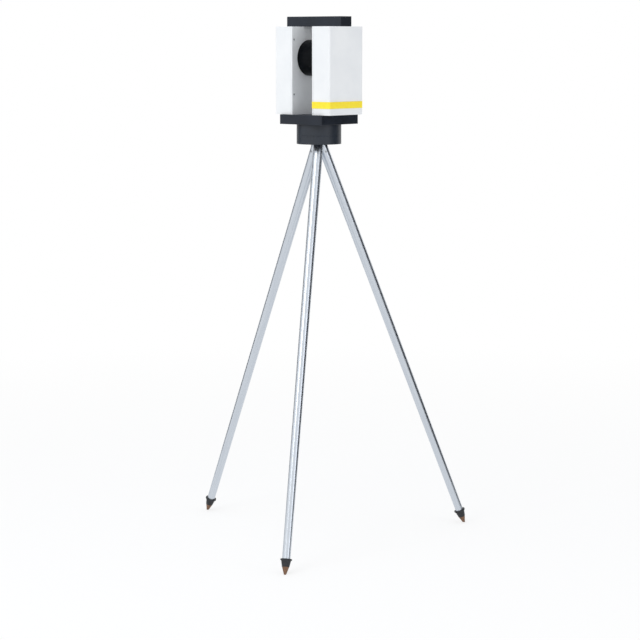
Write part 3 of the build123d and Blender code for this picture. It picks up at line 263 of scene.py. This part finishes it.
def yellow_tpu():
    """Yellow thermoplastic urethane bumper: soft satin, scuffed a little where it is touched."""
    material, tree, shader, place = start_finish(
        "yellow_tpu_bumper", "#FFE42E", roughness=0.42, ior=1.5
    )
    scuffs = grain(tree, place, size=0.009, detail=5.0, roughness=0.65)
    tint(tree, shader, between(tree, scuffs, 0.0, 1.0, 0.35, 0.75), "#FFEA34", "#FADC28")
    tree.links.new(between(tree, scuffs, 0.36, 0.55), shader.inputs["Roughness"])
    skin = grain(tree, place, size=0.0009, detail=2.0)
    relief(tree, shader, skin, depth=0.00004, round_edge=0.0006)
    return material


def drawn_tube(key):
    """Drawn aluminium tube of one leg: long fine lines down it and a satin, scuffed shine."""
    material, tree, shader, place = start_finish(
        f"drawn_aluminium_tube_{key}", "#C8CFD8", roughness=0.3, metallic=1.0
    )
    top, foot = line_ends(key)
    along = (foot - top).to_track_quat("Z", "X").to_euler()
    turned = add(
        tree,
        "ShaderNodeMapping",
        {"Vector": place, "Location": top, "Rotation": along},
        vector_type="TEXTURE",
    )
    stretch = add(
        tree,
        "ShaderNodeMapping",
        {"Vector": turned.outputs[0], "Scale": (1, 1, draw_stretch)},
    )
    # Draw lines are finer than 0.1 mm; at 1.2 mm across they still show close up
    lines = grain(tree, stretch.outputs[0], size=0.0012, detail=3.0)
    scuffs = grain(tree, place, size=0.03, detail=5.0, roughness=0.7)
    tint(tree, shader, between(tree, lines, 0.0, 1.0), "#C6CDD6", "#D2D8DF")
    satin = between(tree, lines, 0.27, 0.32)
    dulled = between(tree, scuffs, 0.0, 0.1, 0.5, 0.8)
    tree.links.new(calculate(tree, "ADD", satin, dulled), shader.inputs["Roughness"])
    relief(tree, shader, lines, depth=0.000004)
    return material


def line_ends(key):
    """Two points that give the run of one leg's drawing lines, found from its tube's box."""
    low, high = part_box(f"leg_{key}_tube")
    turn = math.radians(leg_azimuths[key])
    away = Vector((math.cos(turn), math.sin(turn), 0))
    reaches = [Vector((corner.x, corner.y, 0)).dot(away) for corner in (low, high)]
    near, far = min(map(abs, reaches)), max(map(abs, reaches))
    return Vector((0, 0, high.z)) + away * near, Vector((0, 0, low.z)) + away * far


def machined_aluminium():
    """Milled and clear-anodised aluminium of the inner fittings."""
    material, tree, shader, place = start_finish(
        "clear_anodised_fitting", "#A6ABB1", roughness=0.34, metallic=1.0
    )
    marks = grain(tree, place, size=0.004, detail=4.0)
    tint(tree, shader, between(tree, marks, 0.0, 1.0), "#9DA2A8", "#B0B4B9")
    milling = grain(tree, place, size=0.0006, detail=2.0)
    relief(tree, shader, milling, depth=0.00002, round_edge=0.0004)
    return material


def shoe_polyamide():
    """Dark glass-filled polyamide shoe: matt, with patches of dust."""
    material, tree, shader, place = start_finish("shoe_polyamide", "#1A1D21", roughness=0.55)
    dust = grain(tree, place, size=0.006, detail=4.0, roughness=0.7)
    tint(tree, shader, between(tree, dust, 0.0, 1.0, 0.4, 0.8), "#181B1F", "#2B2F35")
    skin = grain(tree, place, size=0.0009, detail=3.0)
    relief(tree, shader, skin, depth=0.00008, round_edge=0.0006)
    return material


def bronze_spike():
    """Cast bronze ground spike, browned by soil and rubbed brighter in patches."""
    material, tree, shader, place = start_finish(
        "browned_bronze", "#6B5040", roughness=0.5, metallic=0.5
    )
    stains = grain(tree, place, size=0.004, detail=5.0, roughness=0.7)
    tint(tree, shader, between(tree, stains, 0.0, 1.0), "#644A3A", "#8E6C54")
    tree.links.new(between(tree, stains, 0.55, 0.34), shader.inputs["Roughness"])
    relief(tree, shader, stains, depth=0.00015)
    return material


def gloss_drum():
    """Hard-anodised drum, polished and lacquered black."""
    material, tree, shader, place = start_finish(
        "lacquered_black_drum",
        "#04060A",
        roughness=0.3,
        specular_ior_level=0.04,
        coat_weight=0.06,
        coat_roughness=0.1,
    )
    haze = grain(tree, place, size=0.012, detail=4.0)
    tree.links.new(between(tree, haze, 0.26, 0.36), shader.inputs["Roughness"])
    tint(tree, shader, between(tree, haze, 0.0, 1.0), "#030508", "#070A0E")
    return material


def coated_glass(name, colour, transmission, haze=0.03):
    """Optical glass with a dark or clear coating and faint wiping marks."""
    material, tree, shader, place = start_finish(
        name, colour, haze, ior=1.52, transmission_weight=transmission, coat_weight=0.5
    )
    wiping = grain(tree, place, size=0.01, detail=5.0, roughness=0.7)
    tree.links.new(between(tree, wiping, haze, haze + 0.06), shader.inputs["Roughness"])
    return material


def worked_metal(name, dark, light, roughness, size=0.003, metallic=1.0):
    """Turned, ground or plated metal, cloudy at one scale."""
    material, tree, shader, place = start_finish(name, light, roughness, metallic)
    cloud = grain(tree, place, size, detail=4.0)
    tint(tree, shader, between(tree, cloud, 0.0, 1.0), dark, light)
    shine = between(tree, cloud, roughness + 0.08, max(roughness - 0.06, 0.03))
    tree.links.new(shine, shader.inputs["Roughness"])
    return material


def moulded_plastic(name, dark, light, roughness, size=0.0008):
    """Plain moulded plastic or rubber with a fine grain."""
    material, tree, shader, place = start_finish(name, light, roughness)
    cloud = grain(tree, place, size=0.02, detail=3.0)
    tint(tree, shader, between(tree, cloud, 0.0, 1.0), dark, light)
    skin = grain(tree, place, size, detail=2.0)
    relief(tree, shader, skin, depth=0.00005, round_edge=0.0004)
    return material


def paint_nodes():
    """Give each carried-over node its finish."""
    dark = anodised_aluminium()
    coat = coated_casting()
    white = moulded_white()
    painted = painted_white()
    fitting = machined_aluminium()
    shoe = shoe_polyamide()
    bronze = bronze_spike()
    drum = gloss_drum()
    steel = worked_metal("zinc_plated_steel", "#8C8F94", "#B4B7BA", 0.32)
    bearing = worked_metal("ground_bearing_steel", "#A9ACB0", "#C9CBCE", 0.16)
    brass = worked_metal("turned_brass", "#B08D4A", "#D2B068", 0.28)
    copper = worked_metal("enamelled_copper_wire", "#6E3A22", "#A65B36", 0.35, size=0.002, metallic=0.7)
    black = moulded_plastic("black_polyamide", "#141517", "#1E2023", 0.45)
    rubber = moulded_plastic("black_seal_rubber", "#0E0E0F", "#18191A", 0.7)
    case = moulded_plastic("battery_case_plastic", "#26282B", "#303236", 0.52)
    board = moulded_plastic("green_solder_mask", "#0B3A22", "#12502F", 0.3, size=0.002)
    screen = coated_glass("display_cover_glass", "#07090B", transmission=0.0)
    window = coated_glass("dark_exit_window", "#06080A", transmission=0.35)
    lens = coated_glass("coated_lens_glass", "#A9C4D6", transmission=0.8)
    level = coated_glass("level_vial_glass", "#B8D95A", transmission=0.6)
    mirror = worked_metal("protected_gold_mirror", "#D8B866", "#E8CB80", 0.04, size=0.02)
    finishes = {
        "handle_beam": dark,
        "handle_lid": dark,
        "turntable_plate": dark,
        "tripod_head": coat,
        "base_housing": coat,
        "turntable_cover": black,
        "left_tower_cover": white,
        "right_tower_cover": white,
        "battery_door": white,
        "port_cover": white,
        "left_tower_frame": painted,
        "right_tower_frame": painted,
        "bumper_band": yellow_tpu(),
        "drum_shell": drum,
        "drum_window": window,
        "drum_hub": fitting,
        "scan_mirror": mirror,
        "base_adapter": fitting,
        "azimuth_spindle": fitting,
        "mirror_motor_stator": fitting,
        "laser_unit": fitting,
        "base_screws": steel,
        "frame_screws": steel,
        "cover_screws": steel,
        "flap_hinge_pins": steel,
        "leg_hinge_pins": steel,
        "accessory_insert": steel,
        "power_inlet": steel,
        "azimuth_motor_rotor": steel,
        "mirror_motor_rotor": steel,
        "azimuth_bearing_outer": bearing,
        "azimuth_bearing_balls": bearing,
        "azimuth_bearing_inner": bearing,
        "mirror_bearing_outer": bearing,
        "mirror_bearing_inner": bearing,
        "azimuth_motor_stator": copper,
        "slip_ring": brass,
        "clamp_pad": brass,
        "clamp_knob": black,
        "port_block": black,
        "power_button": black,
        "base_seal": rubber,
        "battery_pack": case,
        "main_board": board,
        "display_module": screen,
        "laser_lens": lens,
        "azimuth_encoder_disc": lens,
        "bubble_level": level,
    }
    for key in leg_azimuths:
        finishes[f"leg_{key}_hinge"] = finishes[f"leg_{key}_tube"] = drawn_tube(key)
        finishes[f"leg_{key}_shoe"] = shoe
        finishes[f"leg_{key}_spike"] = bronze
    for name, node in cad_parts.items():
        node.data.materials.clear()
        node.data.materials.append(finishes[name])


def grow(name, body, material, sizes, draw, place):
    """A small piece that a Geometry Nodes tree makes from its named sizes, set in its place."""
    tree = bpy.data.node_groups.new(name, "GeometryNodeTree")
    tree.interface.new_socket("Geometry", in_out="OUTPUT", socket_type="NodeSocketGeometry")
    tree.interface.new_socket("Finish", in_out="INPUT", socket_type="NodeSocketMaterial")
    for label, size in sizes.items():
        kind = "NodeSocketInt" if isinstance(size, int) else "NodeSocketFloat"
        tree.interface.new_socket(label, in_out="INPUT", socket_type=kind)
    given = add(tree, "NodeGroupInput").outputs
    shape = draw(tree, given)
    whole = add(tree, "GeometryNodeRealizeInstances", {"Geometry": shape}).outputs[0]
    dressed = add(
        tree, "GeometryNodeSetMaterial", {"Geometry": whole, "Material": given["Finish"]}
    )
    add(tree, "NodeGroupOutput", {"Geometry": dressed.outputs[0]})

    piece = bpy.data.objects.new(name, bpy.data.meshes.new(name))
    bpy.context.scene.collection.objects.link(piece)
    modifier = piece.modifiers.new(name, "NODES")
    modifier.node_group = tree
    values = {"Finish": material, **sizes}
    for item in tree.interface.items_tree:
        if item.in_out == "INPUT":
            modifier[item.identifier] = values[item.name]
    ready = piece.evaluated_get(bpy.context.evaluated_depsgraph_get())
    mesh = bpy.data.meshes.new_from_object(ready)
    piece.modifiers.remove(modifier)
    mesh.transform(place)
    piece.data = mesh
    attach(piece, body)


def joined(tree, *parts):
    """Several outputs of a tree as one geometry."""
    join = add(tree, "GeometryNodeJoinGeometry")
    for part in parts:
        tree.links.new(part, join.inputs[0])
    return join.outputs[0]


def rib_row(tree, given):
    """A row of upright ribs along X, centred, that stand off the XZ plane towards Y."""
    rib_size = {0: given["Width"], 1: given["Rise"], 2: given["Length"]}
    rib = add(tree, "ShaderNodeCombineXYZ", rib_size)
    bar = add(tree, "GeometryNodeMeshCube", {"Size": rib.outputs[0]}).outputs["Mesh"]
    gaps = calculate(tree, "SUBTRACT", given["Count"], 1.0)
    span = calculate(tree, "MULTIPLY", gaps, given["Pitch"])
    first = calculate(tree, "MULTIPLY", span, -0.5)
    begin = add(tree, "ShaderNodeCombineXYZ", {0: first}).outputs[0]
    step = add(tree, "ShaderNodeCombineXYZ", {0: given["Pitch"]}).outputs[0]
    row = add(
        tree,
        "GeometryNodeMeshLine",
        {"Count": given["Count"], "Start Location": begin, "Offset": step},
    )
    spread = {"Points": row.outputs[0], "Instance": bar}
    return add(tree, "GeometryNodeInstanceOnPoints", spread).outputs[0]


def pin_ring(tree, given):
    """Contact pins that stand on a circle along Z."""
    pin = add(
        tree,
        "GeometryNodeMeshCylinder",
        {"Vertices": 16, "Radius": given["Pin radius"], "Depth": given["Length"]},
    )
    circle = add(
        tree, "GeometryNodeMeshCircle", {"Vertices": given["Count"], "Radius": given["Ring radius"]}
    )
    spread = {"Points": circle.outputs[0], "Instance": pin.outputs["Mesh"]}
    return add(tree, "GeometryNodeInstanceOnPoints", spread).outputs[0]


def flat_line(tree, given, *curves):
    """Curves in the XY plane drawn as raised flat lines."""
    section = add(
        tree,
        "GeometryNodeCurvePrimitiveQuadrilateral",
        {"Width": given["Line"], "Height": given["Rise"]},
    )
    drawn = add(
        tree,
        "GeometryNodeCurveToMesh",
        {"Curve": joined(tree, *curves), "Profile Curve": section.outputs[0], "Fill Caps": True},
    )
    return drawn.outputs[0]


def power_symbol(tree, given):
    """The usual power symbol: a ring open at its top, and a stroke through the opening."""
    arc = add(
        tree,
        "GeometryNodeCurveArc",
        {
            "Resolution": 32,
            "Radius": given["Radius"],
            "Start Angle": math.radians(90) + power_opening / 2,
            "Sweep Angle": math.radians(360) - power_opening,
        },
    )
    top = add(tree, "ShaderNodeCombineXYZ", {1: given["Radius"]}).outputs[0]
    low = add(
        tree, "ShaderNodeVectorMath", {0: top, "Scale": power_stroke_start}, operation="SCALE"
    )
    ends = {"Start": low.outputs[0], "End": top}
    stroke = add(tree, "GeometryNodeCurvePrimitiveLine", ends).outputs[0]
    return flat_line(tree, given, arc.outputs["Curve"], stroke)


def level_marks(tree, given):
    """Rim of a round level and the circle that its bubble is centred in."""
    circles = [
        add(tree, "GeometryNodeCurvePrimitiveCircle", {"Resolution": 64, "Radius": given[label]})
        for label in ("Rim radius", "Circle radius")
    ]
    return flat_line(tree, given, *[circle.outputs["Curve"] for circle in circles])


def facing_place(middle, across, up):
    """A place whose X runs across, whose Z runs up, and whose Y is square to both."""
    turn = Matrix((across, up.cross(across), up)).transposed()
    return Matrix.Translation(middle) @ turn.to_4x4()


def box_middle(name):
    """Middle and upper corner of a node's box."""
    low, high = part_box(name)
    return (low + high) / 2, high


def finger_ribs(name, across, axis, place_on_axis):
    """A row of ribs in the recess at a flap's upper edge, at a place on the axis it faces."""
    count, pitch, length = flap_ribs[name]
    middle, high = box_middle(name)
    middle[axis] = place_on_axis
    middle.z = high.z - length
    sizes = {
        "Count": count,
        "Pitch": pitch,
        "Width": rib_width,
        "Rise": rib_rise,
        "Length": length,
    }
    white = bpy.data.materials["moulded_white_abs"]
    place = facing_place(middle, across, upward)
    grow(f"{name}_ribs", name, white, sizes, rib_row, place)


def inlet_pins():
    """Contact pins inside the power inlet, which faces the rear."""
    brass = bpy.data.materials["turned_brass"]
    middle, high = box_middle("power_inlet")
    middle.y = high.y - inlet_pin_depth
    place = facing_place(middle, to_right, to_rear)
    grow("inlet_pins", "base", brass, inlet_pin_sizes, pin_ring, place)


def power_mark():
    """The power symbol on the face of the button, upright when seen from the rear."""
    white = bpy.data.materials["moulded_white_abs"]
    middle, high = box_middle("power_button")
    middle.y = high.y
    place = facing_place(middle, to_left, to_rear)
    grow("power_mark", "power_button", white, power_mark_sizes, power_symbol, place)


def level_rings():
    """Rim and centring circle on top of the level."""
    black = bpy.data.materials["black_polyamide"]
    middle, high = box_middle("bubble_level")
    middle.z = high.z
    place = facing_place(middle, to_right, upward)
    grow("level_marks", "head", black, level_sizes, level_marks, place)


def small_pieces():
    """Finger ribs, inlet pins, the power symbol and the rings on the level."""
    rib_depth = grip_depth - rib_rise / 2
    finger_ribs("battery_door", to_rear, 0, -tower_side + rib_depth)
    finger_ribs("port_cover", to_right, 1, tower_rear - rib_depth)
    inlet_pins()
    power_mark()
    level_rings()


def stand_camera():
    """The camera of the photograph: at eye level, far off and to the right of the front."""
    right = Vector((math.cos(camera_yaw), math.sin(camera_yaw), 0))
    ahead = Vector((-math.sin(camera_yaw), math.cos(camera_yaw), 0))
    data = bpy.data.cameras.new("camera")
    data.sensor_width = sensor_mm
    data.lens = sensor_mm * focal_px / image_px
    data.clip_end = 100
    camera = bpy.data.objects.new("camera", data)
    bpy.context.scene.collection.objects.link(camera)
    camera.location = right * camera_aside - ahead * camera_distance + Vector((0, 0, camera_height))
    look = ahead * math.cos(camera_pitch) - Vector((0, 0, math.sin(camera_pitch)))
    camera.rotation_euler = look.to_track_quat("-Z", "Y").to_euler()
    bpy.context.scene.camera = camera


def shows_white(tree):
    """1 for a ray from the camera, off a gloss or through glass, which meets plain white."""
    seen = add(tree, "ShaderNodeLightPath").outputs
    kinds = ("Is Camera Ray", "Is Glossy Ray", "Is Transmission Ray")
    total = seen[kinds[0]]
    for kind in kinds[1:]:
        total = calculate(tree, "MAXIMUM", total, seen[kind])
    return total


def stage_sheet(name, corners, material):
    """A flat, four-cornered part of the studio."""
    mesh = bpy.data.meshes.new(name)
    mesh.from_pydata(corners, [], [(0, 1, 2, 3)])
    mesh.materials.append(material)
    sheet = bpy.data.objects.new(name, mesh)
    bpy.context.scene.collection.objects.link(sheet)
    return sheet


def lay_floor():
    """A white floor that runs out of sight and keeps a soft shadow round the feet."""
    material, tree, shader, place = start_finish("pale_floor", "#F4F5F6", roughness=0.8)
    glow = add(tree, "ShaderNodeEmission", {"Color": linear("#FFFFFF"), "Strength": 1.0})
    away = add(tree, "ShaderNodeVectorMath", {0: place}, operation="LENGTH").outputs["Value"]
    share = between(tree, away, floor_glow, 1.0, *floor_fade)
    white = calculate(tree, "MULTIPLY", share, shows_white(tree))
    surface = add(
        tree, "ShaderNodeMixShader", {0: white, 1: shader.outputs[0], 2: glow.outputs[0]}
    )
    tree.links.new(surface.outputs[0], tree.nodes["Material Output"].inputs["Surface"])
    corners = [
        (x * floor_half, y * floor_half, floor_z) for x, y in ((-1, -1), (1, -1), (1, 1), (-1, 1))
    ]
    stage_sheet("floor", corners, material)


def side_card(name, azimuth, reach, width, height, colour):
    """A card beside the object, out of view, that only its gloss shows."""
    material = start_finish(name, colour, roughness=0.9)[0]
    turn = math.radians(azimuth)
    back = Vector((math.sin(turn), -math.cos(turn), 0))
    across = Vector((back.y, -back.x, 0)) * width / 2
    corners = [
        back * reach + across * side + Vector((0, 0, floor_z + up * height))
        for side, up in ((-1, 0), (1, 0), (1, 1), (-1, 1))
    ]
    card = stage_sheet(name, corners, material)
    card.visible_camera = False
    card.visible_diffuse = False
    card.visible_shadow = False
    card.visible_transmission = False


def lamp(name, azimuth, elevation, distance, size, power, colour):
    """A square soft light round the object, at an azimuth from the front and an elevation."""
    data = bpy.data.lights.new(name, "AREA")
    data.size = size
    data.energy = power
    data.color = linear(colour)[:3]
    light = bpy.data.objects.new(name, data)
    bpy.context.scene.collection.objects.link(light)
    turn, rise = math.radians(azimuth), math.radians(elevation)
    back = Vector(
        (math.sin(turn) * math.cos(rise), -math.cos(turn) * math.cos(rise), math.sin(rise))
    )
    light.location = Vector((0, 0, lamp_aim_z)) + back * distance
    light.rotation_euler = (-back).to_track_quat("-Z", "Y").to_euler()


def light_scene():
    """Soft lamps in front, at the right and overhead, an even white world, and two gloss cards."""
    world = bpy.data.worlds.new("studio")
    bpy.context.scene.world = world
    world.use_nodes = True
    tree = world.node_tree
    backdrop = tree.nodes["Background"]
    backdrop.inputs["Color"].default_value = linear("#FFFFFF")
    strength = between(tree, shows_white(tree), ambient, 1.0, 0.0, 1.0)
    tree.links.new(strength, backdrop.inputs["Strength"])
    lamp("key", azimuth=0, elevation=32, distance=5.0, size=2.2, power=54, colour="#FFFFFF")
    lamp("fill", azimuth=100, elevation=15, distance=6.0, size=3.0, power=34, colour="#F6F8FF")
    lamp("overhead", azimuth=-20, elevation=78, distance=4.0, size=2.0, power=30, colour="#DCEAFF")
    side_card("dark_card_right", azimuth=130, reach=2.1, width=2.4, height=2.6, colour="#10141A")
    side_card("slate_card_left", azimuth=-80, reach=2.6, width=1.2, height=2.4, colour="#2E3641")


stand_camera()
light_scene()
lay_floor()
paint_nodes()
small_pieces()

bpy.context.scene.view_settings.view_transform = "Standard"
